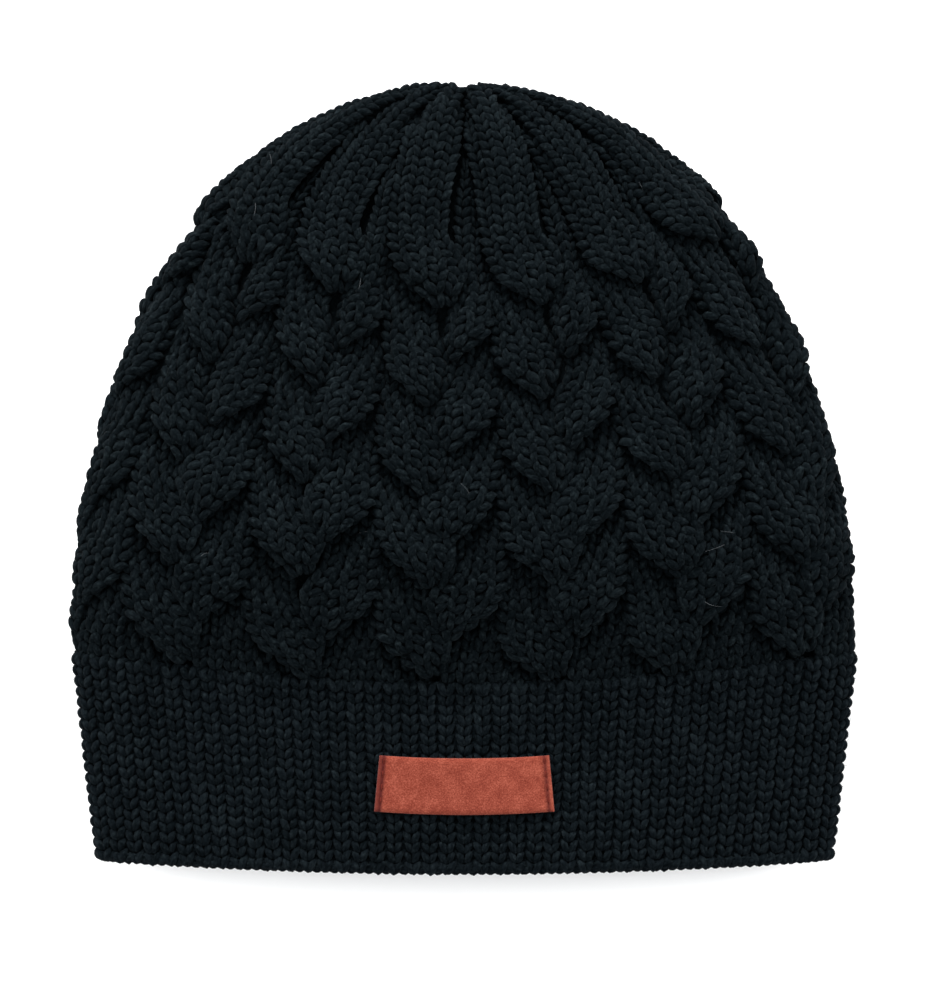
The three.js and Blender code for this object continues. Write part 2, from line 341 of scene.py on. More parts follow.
def tube_layout(rings, sides, flipped=False):
    """Faces of a tube with closed ends, and their UV in a unit cell: the rings unrolled, with the faces of
    the caps above and below them. flipped turns every face over."""
    faces, cells = [], []
    for ring in range(rings - 1):
        for side in range(sides):
            nxt = (side + 1) % sides
            low, high = ring * sides, (ring + 1) * sides
            faces.append((low + nxt, low + side, high + side, high + nxt))
            u0, u1 = side / sides, (side + 1) / sides
            v0, v1 = 0.1 + 0.8 * ring / (rings - 1), 0.1 + 0.8 * (ring + 1) / (rings - 1)
            cells.append(((u1, v0), (u0, v0), (u0, v1), (u1, v1)))
    last = (rings - 1) * sides
    for side in range(1, sides - 1, 2):
        faces.append((0, side, side + 1, (side + 2) % sides))
        faces.append((last, last + (side + 2) % sides, last + side + 1, last + side))
        for v0 in (0.02, 0.94):
            u0 = 0.05 + 0.9 * side / sides
            cells.append(((u0, v0), (u0 + 0.2, v0), (u0 + 0.2, v0 + 0.04), (u0, v0 + 0.04)))
    faces, cells = np.array(faces), np.array(cells)
    if flipped:
        return faces[:, ::-1], cells[:, ::-1]
    return faces, cells


# A stitch leg: a plump grain of yarn, thickest in the middle, with both ends tucked in. In stitch widths:
# BODY_LEG and BAND_LEG are its half width, and LEG_FOOT and LEG_HEAD say how far its lower and upper end
# lie from the wale's middle. Its length is LEG_STRETCH stitch spacings and LEG_EXTRA more.
LEG_RINGS = 7
LEG_SIDES = 6
BODY_LEG = 0.255
BAND_LEG = 0.265
LEG_STRETCH, LEG_EXTRA = 1.25, 0.95
LEG_FOOT, LEG_HEAD = 0.07, 0.41
PLACE_SPREAD = 0.1
LEAN_SPREAD = 0.05
SIZE_SPREAD = 0.05

# The back of a stitch: a flat pad behind its two legs
BACK_HALF = 0.54
BACK_STRETCH, BACK_EXTRA = 1.3, 0.9
BACK_DEPTH = 0.42
BACK_THICKNESS = 0.6
# BACK_SHADE keeps the pads' random tone in the darker part of its range: painted shade, as they lie deeper
# than the legs
BACK_SHADE = 0.4


LEG_QUADS, LEG_UV = tube_layout(LEG_RINGS, LEG_SIDES, flipped=True)


def leg_points(centre, along, across, out, length, width, thick, side, half):
    """Rings of points of many legs. side is -1 or +1 for the left or right leg of its stitch and 0 for the
    back. half is the half width of the leg in stitch widths."""
    v = np.linspace(-1, 1, LEG_RINGS)
    ring = np.arange(LEG_SIDES) * 2 * math.pi / LEG_SIDES + math.pi / LEG_SIDES
    fat = (1 - 0.94 * v**4) ** 0.6
    lateral = side * width[:, None] * (LEG_FOOT + (LEG_HEAD - LEG_FOOT) * (v[None] + 1) / 2)
    forward = 0.5 * length[:, None] * v[None]
    dip = -0.5 * thick[:, None] * v[None] ** 2 * (1 + 0.25 * v[None])
    line = (
        centre[:, None]
        + along[:, None] * forward[..., None]
        + across[:, None] * lateral[..., None]
        + out[:, None] * dip[..., None]
    )
    half_width = half * width[:, None] * fat[None]
    half_thick = 0.5 * thick[:, None] * fat[None]
    wide = across[:, None, None] * (half_width[..., None] * np.cos(ring))[..., None]
    deep = out[:, None, None] * (half_thick[..., None] * np.sin(ring))[..., None]
    return line[:, :, None] + wide + deep


def knit_piece(name, material, legs, shades, lengths):
    """One object of many legs, with its own bake layout and a yarn layout that runs along each leg."""
    count = len(legs)
    per_leg = LEG_RINGS * LEG_SIDES
    points = settle(legs.reshape(count * per_leg, 3).copy())
    quads = LEG_QUADS[None] + (np.arange(count) * per_leg)[:, None, None]
    piece = mesh_object(name, points, quads, material)
    add_bake_uv(piece.data, LEG_UV, count)
    yarn = LEG_UV[None] * np.stack([np.ones(count), lengths], -1)[:, None, None]
    yarn = yarn + rng.uniform(0, 50, (count, 1, 1, 2)).round()
    add_uv(piece.data, "yarn", yarn)
    add_shade(piece.data, np.repeat(shades, per_leg))
    return piece


def stitches(wale_lines, half):
    """The two legs and the back of every stitch of a set of wales. wale_lines holds, per stitch: place,
    direction along the wale, direction across it, outward direction, spacing, width and thickness."""
    place, along, across, out, spacing, width, thick = wale_lines
    count = len(place)
    legs, shades, lengths = [], [], []
    for side in (-1.0, 1.0):
        centre = place + rng.normal(0, PLACE_SPREAD, (count, 3))
        lean = rng.normal(0, LEAN_SPREAD, (count, 1))
        size = rng.normal(1, SIZE_SPREAD, count)
        turned = unit(along + across * lean)
        sideways = unit(np.cross(turned, out))
        length = (LEG_STRETCH * spacing + LEG_EXTRA) * size
        legs.append(leg_points(centre, turned, sideways, out, length, width * size, thick, side, half))
        shades.append(rng.uniform(0, 1, count))
        lengths.append(length)
    deeper = place - out * (BACK_DEPTH * thick)[:, None]
    length = BACK_STRETCH * spacing + BACK_EXTRA
    legs.append(leg_points(deeper, along, across, out, length, width, BACK_THICKNESS * thick, 0, BACK_HALF))
    # Painted shade: the pads lie deeper, so their tone is kept darker
    shades.append(rng.uniform(0, BACK_SHADE, count))
    lengths.append(length)
    return np.concatenate(legs), np.concatenate(shades), np.concatenate(lengths)


# ---------------- knitting charts


def arch_for(share):
    """Half angle of an arc whose chord is this share of its length, up to DEEPEST_ARCH."""
    angle = np.linspace(0.001, DEEPEST_ARCH, 300)
    return np.interp(-share, -np.sin(angle) / angle, angle)


def body_inset(out):
    return BODY_INSET_FRONT + (BODY_INSET_BACK - BODY_INSET_FRONT) * np.maximum(0, -out[..., 2])


def edge_course(tip, wale, scale):
    """Course at which a cell's lower edge crosses a wale. Wales count from the middle of the column,
    towards the side that the edge climbs to."""
    past = wale - TIP_WALE
    climb = EDGE_RISE * np.maximum(0, past - EDGE_FLAT) ** EDGE_POWER
    return tip + scale * (climb + EDGE_CUP * np.minimum(0, past) ** 2)


def cell_route(direction, tips, scales, cell, j):
    """Courses, places within the column, lift, share of full width and skew of one wale of one cell. Cell
    0 is the plain knitting below the first edge. j counts towards the side that the edges climb to."""
    home = j - (COLUMN - 1) / 2
    shift = CELL_START_SHIFT[j] if cell > 0 else 0
    if cell > 0:
        start = edge_course(tips[cell - 1], home - shift, scales[cell - 1]) + CELL_START
    else:
        start = BAND_LENGTH - 0.9
    last_cell = cell == len(tips)
    end = LAST_COURSE
    if not last_cell:
        covered = edge_course(tips[cell], home, scales[cell])
        end = covered + HIDDEN_LENGTH[j]
        if cell == len(tips) - 1:
            end += LAST_HIDDEN_LONGER
    courses = np.append(np.arange(start, end, 0.4), end)
    gone = courses - start
    near_lift = np.interp(gone, *np.array(NEAR_LIFT).T)
    far_lift = np.interp(gone, *np.array(FAR_LIFT).T)
    lift = near_lift + (far_lift - near_lift) * j / (COLUMN - 1)
    place = np.full(len(courses), home)
    narrow = np.ones(len(courses))
    skew = np.zeros(len(courses))
    if cell > 0:
        skew = (CELL_SKEW + FAR_SKEW * j) * np.interp(gone, [0, 4, 11, 21], [0.5, 1, 0.8, 0])
        fan = np.sin(0.5 * math.pi * np.clip(gone / (5 + 3.7 * shift), 0, 1))
        bulge = np.sin(math.pi * np.clip(gone / BOW_LENGTH, 0, 1)) ** 2
        lean = 2 * smoothstep(gone, 0, LEAN_LENGTH) - 1
        place += CELL_BULGE[j] * bulge + CELL_LEAN[j] * lean - shift * (1 - fan)
        narrow = (0.95 + 0.08 * fan) * (1 + STITCH_SWELL * bulge)
    else:
        lift = np.minimum(lift * 0.3, 0.3)
        lift = np.minimum(lift, np.interp(courses - covered, [-7, 0, 4], [0.3, -1.4, -2.0]))
    if last_cell:
        lift = np.maximum(LAST_CELL_LIFT * lift, 0.2)
    else:
        place += CELL_TAIL[j] * smoothstep(courses, covered - TAIL_LENGTH, covered)
    return courses, direction * place, lift, narrow, direction * skew


def body_wales():
    """Stitches of all cells, columns and wales, as a stack of per-stitch arrays."""
    found = []
    for column in range(COLUMNS):
        direction = 1 if column % 2 == 0 else -1
        tips = RIGHT_TIPS if direction > 0 else LEFT_TIPS
        tips = tips + rng.normal(0, TIP_SPREAD, len(tips))
        middle = COLUMN * column + COLUMN_SHIFT
        scales = np.minimum(1, wale_pitch(middle, tips) / wale_pitch(middle, WIDEST_HEIGHT)) ** 0.7
        phases = rng.uniform(0, 2 * math.pi, len(COLUMN_WANDER))
        puff = CROWN_PUFF + rng.uniform(-PUFF_SPREAD, PUFF_SPREAD)
        crease = CROWN_CREASE * rng.uniform(0.6, 1.3)
        shape = (middle, direction < 0, phases, puff, crease)
        for cell in range(len(tips) + 1):
            for j in range(COLUMN):
                route = cell_route(direction, tips, scales, cell, j)
                if route[0][-1] - route[0][0] > SHORTEST_WALE:
                    found.append(wale_stitches(shape, j in (1, 2), *route))
    return [np.concatenate([wale[i] for wale in found]) for i in range(9)]


def column_width(middle, ridge, courses):
    """Pitch of the wales, and the width that a column's four wales share, at each course."""
    pitch = np.maximum(wale_pitch(middle, courses), 0.1)
    pair = 2 * COLUMN * pitch
    drawn_in = smoothstep(courses, RIDGES_FROM, RIDGES_TO)
    width = pair / 2 + (np.minimum(pair, RIDGE_WIDTH) - pair / 2) * drawn_in
    if not ridge:
        width = np.maximum(pair - width, NARROWEST_COLUMN)
    return pitch, width


def stitch_rows(courses, step):
    """Row number at each course of a wale, the rows at which its stitches stand, and their spacing."""
    blend = smoothstep(courses, CROWN_FROM, CROWN_TO)
    rows = np.gradient(courses) / COURSE * (1 - blend) + step / CROWN_COURSE * blend
    rows = courses[0] / COURSE + np.concatenate([[0], np.cumsum((rows[1:] + rows[:-1]) / 2)])
    at = np.append(rows[0], np.arange(math.ceil(rows[0] + 0.45), rows[-1]))
    return rows, at, step / np.maximum(np.gradient(rows), 1e-6)


def turn_towards(first, second, angle):
    """Two directions at a right angle, both turned by an angle from the first towards the second."""
    cos, sin = np.cos(angle)[:, None], np.sin(angle)[:, None]
    return first * cos + second * sin, second * cos - first * sin


def wale_stitches(shape, inner, courses, place, lift, narrow, skew):
    """Per-stitch arrays of one wale of one cell, spaced evenly along its route. shape holds the column's
    middle, whether it is a ridge in the crown, the phases of its wander, its puff and its crease. inner is
    true for the two middle wales, which take the place of all four where the column is drawn in."""
    middle, ridge, phases, puff, crease = shape
    for (reach, length), phase in zip(COLUMN_WANDER, phases):
        middle = middle + reach * np.sin(courses / length + phase)
    pitch, chord = column_width(middle, ridge, courses)
    lift = lift * (1 - FOLD_FLATTENING * fold_share(middle) ** 4)
    crown = smoothstep(courses, SWELL_FROM, SWELL_TO)
    if ridge:
        paired = smoothstep(courses, DECREASES_FROM, DECREASES_TO)
    else:
        paired = smoothstep(-chord, -10, -6)
        lift = lift - VALLEY_DROP * smoothstep(-chord, -11, -5)
    if inner:
        place = place * (1 + 0.9 * paired)
        narrow = narrow * (1 + 0.9 * paired)
    else:
        lift = lift - PAIRED_DROP * paired
    full_width = STITCH_WIDTH - 0.35 * crown
    arch = np.maximum(COLUMN_ARCH, arch_for(np.minimum(1, chord / (COLUMN * full_width))))
    radius = chord / 2 / np.sin(arch)
    tilt = place / (COLUMN / 2) * arch
    wale = middle + radius * np.sin(tilt) / pitch
    out = outward(wale, courses)
    crease = crease * crown * np.abs(place / (COLUMN / 2)) ** 2.5
    depth = lift - radius * (1 - np.cos(tilt)) + puff * crown - crease - body_inset(out)
    line = surface(wale, courses) + out * depth[:, None]
    step = np.linalg.norm(np.gradient(line, axis=0), axis=-1)
    rows, at, spacing = stitch_rows(courses, step)
    along = unit(np.gradient(line, axis=0))
    out = square_to(along, out)
    out, across = turn_towards(out, np.cross(along, out), tilt)
    along, across = turn_towards(along, across, skew)
    width = np.minimum(1.06 * radius * arch / 2 * narrow, WIDEST_STITCH)
    if inner and ridge:
        width = np.maximum(width, NARROWEST_RIDGE_STITCH)
    keep = (np.interp(at, rows, width) > NARROWEST_STITCH) & (inner | (np.interp(at, rows, paired) < 0.8))
    keep = keep & (np.interp(at, rows, chord) > NARROWEST_KNITTED)

    def pick(values):
        return sample(at, rows, values)[keep]

    along, across, out = unit(pick(along)), unit(pick(across)), unit(pick(out))
    width = pick(width)
    thick = np.minimum(THICKEST_STITCH, 0.5 * width)
    return pick(line), along, across, out, pick(spacing), width, thick, pick(wale), pick(courses)


def rib_wales(inside):
    """Knit wales of the band: the outer ones, or those that show on the inside between them."""
    courses = np.arange(1.5, BAND_LENGTH + 0.3, BAND_COURSE)
    found = []
    for rib in range(RIBS):
        wale = np.full(len(courses), (rib + (0.5 if inside else 0.0)) * WALES / RIBS)
        out = outward(wale, courses)
        depth = -BAND_WALL + 1.1 if inside else -1.0 - 0.3 * np.maximum(0, -out[:, 2])
        place = surface(wale, courses) + out * np.reshape(depth, (-1, 1))
        along = unit(np.gradient(place, axis=0))
        out = square_to(along, out) * (-1 if inside else 1)
        across = np.cross(along, out)
        spacing = np.full(len(courses), BAND_COURSE)
        width = np.full(len(courses), RIB_WIDTH)
        thick = np.full(len(courses), RIB_THICKNESS)
        found.append((place, along, across, out, spacing, width, thick))
    return [np.concatenate([wale[i] for wale in found]) for i in range(7)]


# ---------------- materials


def new_material(name):
    material = bpy.data.materials.new(name)
    material.use_nodes = True
    nodes = material.node_tree.nodes
    return material, nodes, material.node_tree.links, nodes["Principled BSDF"]


def object_place(nodes):
    return nodes.new("ShaderNodeTexCoord").outputs["Object"]


def stretched(nodes, links, vector, scale, turn=0.0):
    node = nodes.new("ShaderNodeMapping")
    node.inputs["Scale"].default_value = scale
    node.inputs["Rotation"].default_value = (0, 0, turn)
    links.new(vector, node.inputs["Vector"])
    return node.outputs["Vector"]


def set_finish(shader, roughness, specular):
    shader.inputs["Roughness"].default_value = roughness
    shader.inputs["Specular IOR Level"].default_value = specular


def noise(nodes, links, vector, scale, detail=3.0, roughness=0.6):
    node = nodes.new("ShaderNodeTexNoise")
    node.inputs["Scale"].default_value = scale
    node.inputs["Detail"].default_value = detail
    node.inputs["Roughness"].default_value = roughness
    links.new(vector, node.inputs["Vector"])
    return node.outputs["Fac"]


def ramp(nodes, links, factor, stops):
    node = nodes.new("ShaderNodeValToRGB")
    ramp_stops = node.color_ramp.elements
    while len(ramp_stops) < len(stops):
        ramp_stops.new(0.5)
    for stop, (position, colour) in zip(ramp_stops, stops):
        stop.position = position
        stop.color = (*colour, 1)
    links.new(factor, node.inputs["Fac"])
    return node.outputs["Color"]


def math_node(nodes, links, operation, a, b):
    node = nodes.new("ShaderNodeMath")
    node.operation = operation
    for socket, value in zip(node.inputs, (a, b)):
        if isinstance(value, (int, float)):
            socket.default_value = value
        else:
            links.new(value, socket)
    return node.outputs["Value"]


def bump(nodes, links, shader, height, distance, strength=1.0):
    node = nodes.new("ShaderNodeBump")
    node.inputs["Distance"].default_value = distance
    node.inputs["Strength"].default_value = strength
    links.new(height, node.inputs["Height"])
    links.new(node.outputs["Normal"], shader.inputs["Normal"])


def yarn_material(name, dark, light, glint, speck_highlight):
    """Dyed worsted yarn: fine fibres along each stitch, a slight change of shade from stitch to stitch
    and over the cloth, a painted glint on the brightest fibres, and pale specks, painted highlights where
    loose fibres catch the light."""
    material, nodes, links, shader = new_material(name)
    along = nodes.new("ShaderNodeUVMap")
    along.uv_map = "yarn"
    fibre_place = stretched(nodes, links, along.outputs["UV"], (5.5, 0.5, 1.0), 0.35)
    fibres = noise(nodes, links, fibre_place, 1.6, 4.0, 0.7)
    place = object_place(nodes)
    patches = noise(nodes, links, place, 90.0, 2.0)
    fuzz = noise(nodes, links, place, 900.0, 2.0)
    shade = nodes.new("ShaderNodeAttribute")
    shade.attribute_name = "shade"
    mixed = math_node(nodes, links, "MULTIPLY", fibres, 1.1)
    mixed = math_node(nodes, links, "ADD", mixed, math_node(nodes, links, "MULTIPLY", patches, 0.25))
    tone = math_node(nodes, links, "MULTIPLY", shade.outputs["Fac"], 0.12)
    mixed = math_node(nodes, links, "ADD", mixed, tone)
    # The glint stop is a painted highlight on the brightest fibres
    base = ramp(nodes, links, mixed, [(0.55, dark), (0.76, light), (0.95, glint)])
    # Painted highlights: pale specks added to the colour where loose fibres catch the light
    specks = ramp(nodes, links, fuzz, [(0.54, (0, 0, 0)), (0.82, speck_highlight)])
    total = nodes.new("ShaderNodeMix")
    total.data_type = "RGBA"
    total.blend_type = "ADD"
    total.inputs["Factor"].default_value = 1.0
    links.new(base, total.inputs["A"])
    links.new(specks, total.inputs["B"])
    links.new(total.outputs["Result"], shader.inputs["Base Color"])
    set_finish(shader, 0.85, 0.01)
    shader.inputs["Sheen Weight"].default_value = 0.004
    shader.inputs["Sheen Roughness"].default_value = 0.5
    bump(nodes, links, shader, fibres, 0.3 * MM, 1.0)
    return material


# The body's yarn colours are darker than the band's, though both are the same yarn: painted shade for the
# deeper relief of the cables. The glint colours are painted highlights.
YARN_DARK = (0.0006, 0.0013, 0.0017)
BODY_LIGHT = (0.0017, 0.0028, 0.0036)
BODY_GLINT = (0.0046, 0.0070, 0.0082)
BAND_LIGHT = (0.0022, 0.0035, 0.0046)
BAND_GLINT = (0.0050, 0.0074, 0.0088)
YARN_SPECK_HIGHLIGHT = (0.0055, 0.0078, 0.0086)
CLOTH_LIGHT = (0.0026, 0.0040, 0.0048)
body_yarn = yarn_material("cable_yarn", YARN_DARK, BODY_LIGHT, BODY_GLINT, YARN_SPECK_HIGHLIGHT)
band_yarn = yarn_material("rib_yarn", YARN_DARK, BAND_LIGHT, BAND_GLINT, YARN_SPECK_HIGHLIGHT)


def knit_side_material(name, dark, light):
    """Yarn seen as cloth, for the surfaces behind the stitches."""
    material, nodes, links, shader = new_material(name)
    fibres = noise(nodes, links, object_place(nodes), 1400.0)
    links.new(ramp(nodes, links, fibres, [(0.3, dark), (0.75, light)]), shader.inputs["Base Color"])
    set_finish(shader, 0.9, 0.02)
    bump(nodes, links, shader, fibres, 0.3 * MM)
    return material


cloth_yarn = knit_side_material("cloth_yarn", YARN_DARK, CLOTH_LIGHT)


# ---------------- walls behind the stitches


def shell(name, courses, depths, lower, relief, turn_steps, pointed):
    """A closed wall between two depths below the outer surface, with purl bumps as high as relief. On the
    underside the outer depth is more, by lower. At its last course the wall closes to a point, or ends in
    an open rim as it does at its first."""
    wales = np.arange(turn_steps) * WALES / turn_steps
    bumps = relief * np.cos(2 * math.pi * wales)

    def sheet(depth, lower):
        rows = []
        for course in courses:
            line = np.full(turn_steps, course)
            out = outward(wales, line)
            below = depth + lower * np.maximum(0, -out[:, 2]) - bumps * np.cos(2 * math.pi * course / COURSE)
            rows.append(surface(wales, line) - out * below[:, None])
        rows = np.array(rows)
        if pointed:
            rows[-1] = rows[-1].mean(axis=0)
        return rows

    rings = np.concatenate([sheet(depths[0], lower), sheet(depths[1], 0)[::-1]])
    steps = np.arange(turn_steps)
    nxt = (steps + 1) % turn_steps
    quads = []
    for row in range(len(rings)):
        if pointed and row == len(courses) - 1:
            continue
        low = row * turn_steps
        high = (row + 1) % len(rings) * turn_steps
        quads.append(np.stack([low + steps, low + nxt, high + nxt, high + steps], -1))
    return mesh_object(name, settle(rings.reshape(-1, 3)), np.concatenate(quads), cloth_yarn)


body_courses = np.append(np.arange(BAND_LENGTH, 214, 0.8), LENGTH - 1.0)
band_courses = np.arange(0.8, BAND_LENGTH + 0.7, 1.5)
body_wall = shell("body_inside", body_courses, (4.3, 5.2), 0.5, 0.35, 4 * WALES, pointed=True)
band_wall = shell("band_core", band_courses, (1.6, 2.4), 0, 0, 2 * RIBS, pointed=False)

# ---------------- knitted pieces



def stand_for(piece, slot, *nodes):
    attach(piece, "root")
    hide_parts(*nodes)


# Courses at which the body's stitches are split into objects
ZONES = [(0, 88), (88, 124), (124, 164), (164, LENGTH + 1)]
*body_rows, body_wale, body_course = body_wales()
body_parts = stitches(body_rows, BODY_LEG)
on_front = np.abs(wrapped(np.tile(body_wale, 3))) < WALES / 4
leg_course = np.tile(body_course, 3)
knit_pieces = []
for side_name, chosen in (("front", on_front), ("back", ~on_front)):
    for zone, (low, high) in enumerate(ZONES, 1):
        mask = chosen & (leg_course >= low) & (leg_course < high)
        chosen_parts = [part[mask] for part in body_parts]
        knit_pieces.append(knit_piece(f"cable_{side_name}_{zone}", body_yarn, *chosen_parts))

band_pieces = []
for side_name, inside in (("outside", False), ("inside", True)):
    rib_rows = rib_wales(inside)
    band_parts = stitches(rib_rows, BAND_LEG)
    right_half = np.tile(rib_rows[0][:, 0] > 0, 3)
    for part_name, mask in (("left", ~right_half), ("right", right_half)):
        chosen_parts = [part[mask] for part in band_parts]
        band_pieces.append(knit_piece(f"rib_{side_name}_{part_name}", band_yarn, *chosen_parts))

for piece in knit_pieces + [body_wall]:
    stand_for(piece, "cable_knit", "cable_body")
for piece in band_pieces + [band_wall]:
    stand_for(piece, "rib_knit", "rib_band")


MOUTH_COURSE = 0.9
MOUTH_DEPTH = 2.1
MOUTH_WIDE, MOUTH_THICK = 3.4, 2.2


def mouth_chain():
    """The chain of cast-on loops between the outside and the inside of the band."""
    count = 2 * RIBS
    wale = np.arange(count) * WALES / count
    course = np.full(count, MOUTH_COURSE)
    line = surface(wale, course) - outward(wale, course) * MOUTH_DEPTH
    after = np.roll(line, -1, axis=0)
    along = unit(after - np.roll(line, 1, axis=0))
    out = np.tile(np.array([0.0, -1.0, 0.0]), (count, 1))
    out = square_to(along, out)
    step = np.linalg.norm(after - line, axis=-1)
    width, thick = np.full(count, MOUTH_WIDE), np.full(count, MOUTH_THICK)
    rows = (line, along, np.cross(along, out), out, step, width, thick)
    return knit_piece("mouth_edge", band_yarn, *stitches(rows, BAND_LEG))


stand_for(mouth_chain(), "rib_knit", "rib_band")

# ---------------- yarn, thread and loose fibre


def sides_of(forward, reference):
    """The two directions around a line that make a right angle with it and with each other."""
    side = unit(np.cross(forward, np.broadcast_to(np.array(reference, float), forward.shape)))
    return side, np.cross(side, forward)


def tubes(name, paths, radii, material, sides=6, reference=(0, 0, 1)):
    """One object of many round strands. paths holds the points of each, and radii its radius at each."""
    paths = np.asarray(paths, float)
    radii = np.asarray(radii, float)
    count, steps = paths.shape[:2]
    side, up = sides_of(unit(np.gradient(paths, axis=1)), reference)
    ring = np.arange(sides) * 2 * math.pi / sides
    wide = side[:, :, None] * np.cos(ring)[:, None]
    high = up[:, :, None] * np.sin(ring)[:, None]
    points = paths[:, :, None] + radii[:, :, None, None] * (wide + high)
    faces, cells = tube_layout(steps, sides)
    quads = faces[None] + (np.arange(count) * steps * sides)[:, None, None]
    piece = mesh_object(name, settle(points.reshape(-1, 3)), quads, material)
    add_bake_uv(piece.data, cells, count)
    length = np.linalg.norm(np.diff(paths, axis=1), axis=-1).sum(axis=1)
    yarn = cells[None] * np.stack([np.full(count, 2 * math.pi * radii.mean()), length], -1)[:, None, None]
    add_uv(piece.data, "yarn", yarn)
    add_shade(piece.data, np.repeat(rng.uniform(0, 1, count), steps * sides))
    return piece


def smooth_path(points, steps):
    """A smooth line of evenly spaced points through a few given ones."""
    points = np.array(points, float)
    way = way_along(points)
    line = sample(np.linspace(0, way[-1], 4 * steps), way, points)
    kernel = np.hanning(2 * (steps // 3) + 1)
    kernel /= kernel.sum()
    half = len(kernel) // 2
    padded = np.pad(line, ((half, half), (0, 0)), mode="reflect", reflect_type="odd")
    soft = np.stack([np.convolve(padded[:, i], kernel, mode="valid") for i in range(3)], -1)
    way = way_along(soft)
    return sample(np.linspace(0, way[-1], steps), way, soft)


def plied(name, line, radius, material, plies=3, turn=6.0, reference=(0, 0, 1)):
    """Yarn of several plies twisted together along a line."""
    side, up = sides_of(unit(np.gradient(line, axis=0)), reference)
    way = way_along(line)
    paths = []
    for ply in range(plies):
        angle = 2 * math.pi * (way / turn + ply / plies)
        paths.append(line + 0.5 * radius * (side * np.cos(angle)[:, None] + up * np.sin(angle)[:, None]))
    place = np.arange(len(line))
    taper = np.minimum(1, 0.35 + 1.4 * np.minimum(place, place[::-1]) / 3)
    return tubes(name, paths, np.tile(0.56 * radius * taper, (plies, 1)), material, 6, reference)


def plate(name, upper, lower, material, shade=None):
    """A closed sheet between two grids of points, with a slightly rounded rim."""
    rows, columns = upper.shape[:2]
    rim = [(i, 0) for i in range(rows)]
    rim += [(rows - 1, j) for j in range(1, columns)]
    rim += [(i, columns - 1) for i in range(rows - 2, -1, -1)]
    rim += [(0, j) for j in range(columns - 2, 0, -1)]
    rim = np.array(rim)
    flat = rim[:, 0] * columns + rim[:, 1]
    middle = (upper + lower).reshape(-1, 3)[flat] / 2
    centre = (upper[rows // 2, columns // 2] + lower[rows // 2, columns // 2]) / 2
    middle = middle + 0.12 * unit(middle - centre)
    points = np.concatenate([upper.reshape(-1, 3), lower.reshape(-1, 3), middle])
    count = rows * columns
    quads = []
    for i in range(rows - 1):
        for j in range(columns - 1):
            a = i * columns + j
            b, c, d = a + 1, a + columns + 1, a + columns
            quads.append((a, b, c, d))
            quads.append((count + d, count + c, count + b, count + a))
    for k in range(len(rim)):
        nxt = (k + 1) % len(rim)
        quads.append((flat[k], flat[nxt], 2 * count + nxt, 2 * count + k))
        quads.append((2 * count + k, 2 * count + nxt, count + flat[nxt], count + flat[k]))
    piece = mesh_object(name, points, quads, material)
    if shade is not None:
        add_shade(piece.data, np.concatenate([shade.ravel(), shade.ravel(), np.ones(len(rim))]))
    return piece


def loose_fibres(name, rows, count, shortest, longest, radius, material, lay=0.7):
    """Fine curved hairs that stand off the stitches. lay is how far they lean along the surface."""
    place, along, across, out = rows[:4]
    chosen = rng.integers(0, len(place), count)
    push = rng.normal(0, lay, (count, 2))
    lean = unit(out[chosen] * 0.7 + along[chosen] * push[:, :1] + across[chosen] * push[:, 1:])
    start = place[chosen] + across[chosen] * rng.uniform(-1.5, 1.5, (count, 1)) + out[chosen] * 0.6
    bend = unit(np.cross(lean, rng.normal(0, 1, (count, 3))))
    length = rng.uniform(shortest, longest, (count, 1))
    paths = []
    for share in np.linspace(0, 1, 5):
        paths.append(start + lean * length * share + bend * length * 0.35 * share**2)
    radii = np.tile(np.array([1, 1, 0.9, 0.7, 0.4]) * radius, (count, 1))
    return tubes(name, np.stack(paths, 1), radii, material, 4, (0.31, 0.52, 0.79))


def plain_material(name, dark, light, scale, roughness, specular, grain):
    """A surface with a fine grain in its colour and its relief."""
    material, nodes, links, shader = new_material(name)
    fine = noise(nodes, links, object_place(nodes), scale, 4.0, 0.65)
    links.new(ramp(nodes, links, fine, [(0.3, dark), (0.72, light)]), shader.inputs["Base Color"])
    set_finish(shader, roughness, specular)
    bump(nodes, links, shader, fine, grain * MM, 0.8)
    return material


body_fuzz = loose_fibres("cable_fuzz", body_rows, 3200, 0.9, 2.6, 0.035, body_yarn)
stand_for(body_fuzz, "cable_knit", "cable_body")
band_fuzz = loose_fibres("rib_fuzz", rib_wales(False), 1000, 0.8, 2.0, 0.035, band_yarn)
stand_for(band_fuzz, "rib_knit", "rib_band")
lint = plain_material("pale_fibre", (0.02, 0.023, 0.025), (0.07, 0.075, 0.08), 500.0, 0.7, 0.2, 0.02)
on_top = body_rows[3][:, 2] > 0.8
top_rows = [values[on_top] for values in body_rows[:4]]
stray = loose_fibres("stray_fibres", top_rows, 14, 2.5, 7.0, 0.05, lint, 3.0)
stand_for(stray, "cable_knit", "cable_body")

# ---------------- label

LABEL_BOW = 0.9
LABEL_TAPER = 1.5
LABEL_SHEET = 1.1
STITCH_FROM_END = 1.4
LABEL_STITCHES = 8
LABEL_HIGHER = 1.2
LABEL_SHORTER = 0.4
label_half = LABEL_HIGH[0]
label_length = LABEL_HIGH[1] - LABEL_LOW[1] - LABEL_BOW - LABEL_SHORTER
label_middle = LABEL_HIGH[1] - label_length / 2 + LABEL_HIGHER


def front_height(x, y):
    """Height of the front surface of the band above the surface that the hat lies on."""
    height = y + LENGTH / 2
    half_width = outline_half_width(height)
    bulge = (1 - np.abs(x / half_width) ** SECTION_ROUNDNESS) ** (1 / SECTION_ROUNDNESS)
    return FOLD_HEIGHT + (BAND_THICKNESS - FOLD_HEIGHT) * bulge


def label_place(u, v):
    """x and y of the label at u from -1 to 1 across it and v from 0 to 1 up it."""
    x = u * (label_half - LABEL_TAPER * v)
    y = label_middle + (v - 0.5) * label_length - LABEL_BOW * (1 - u**2)
    return x, y


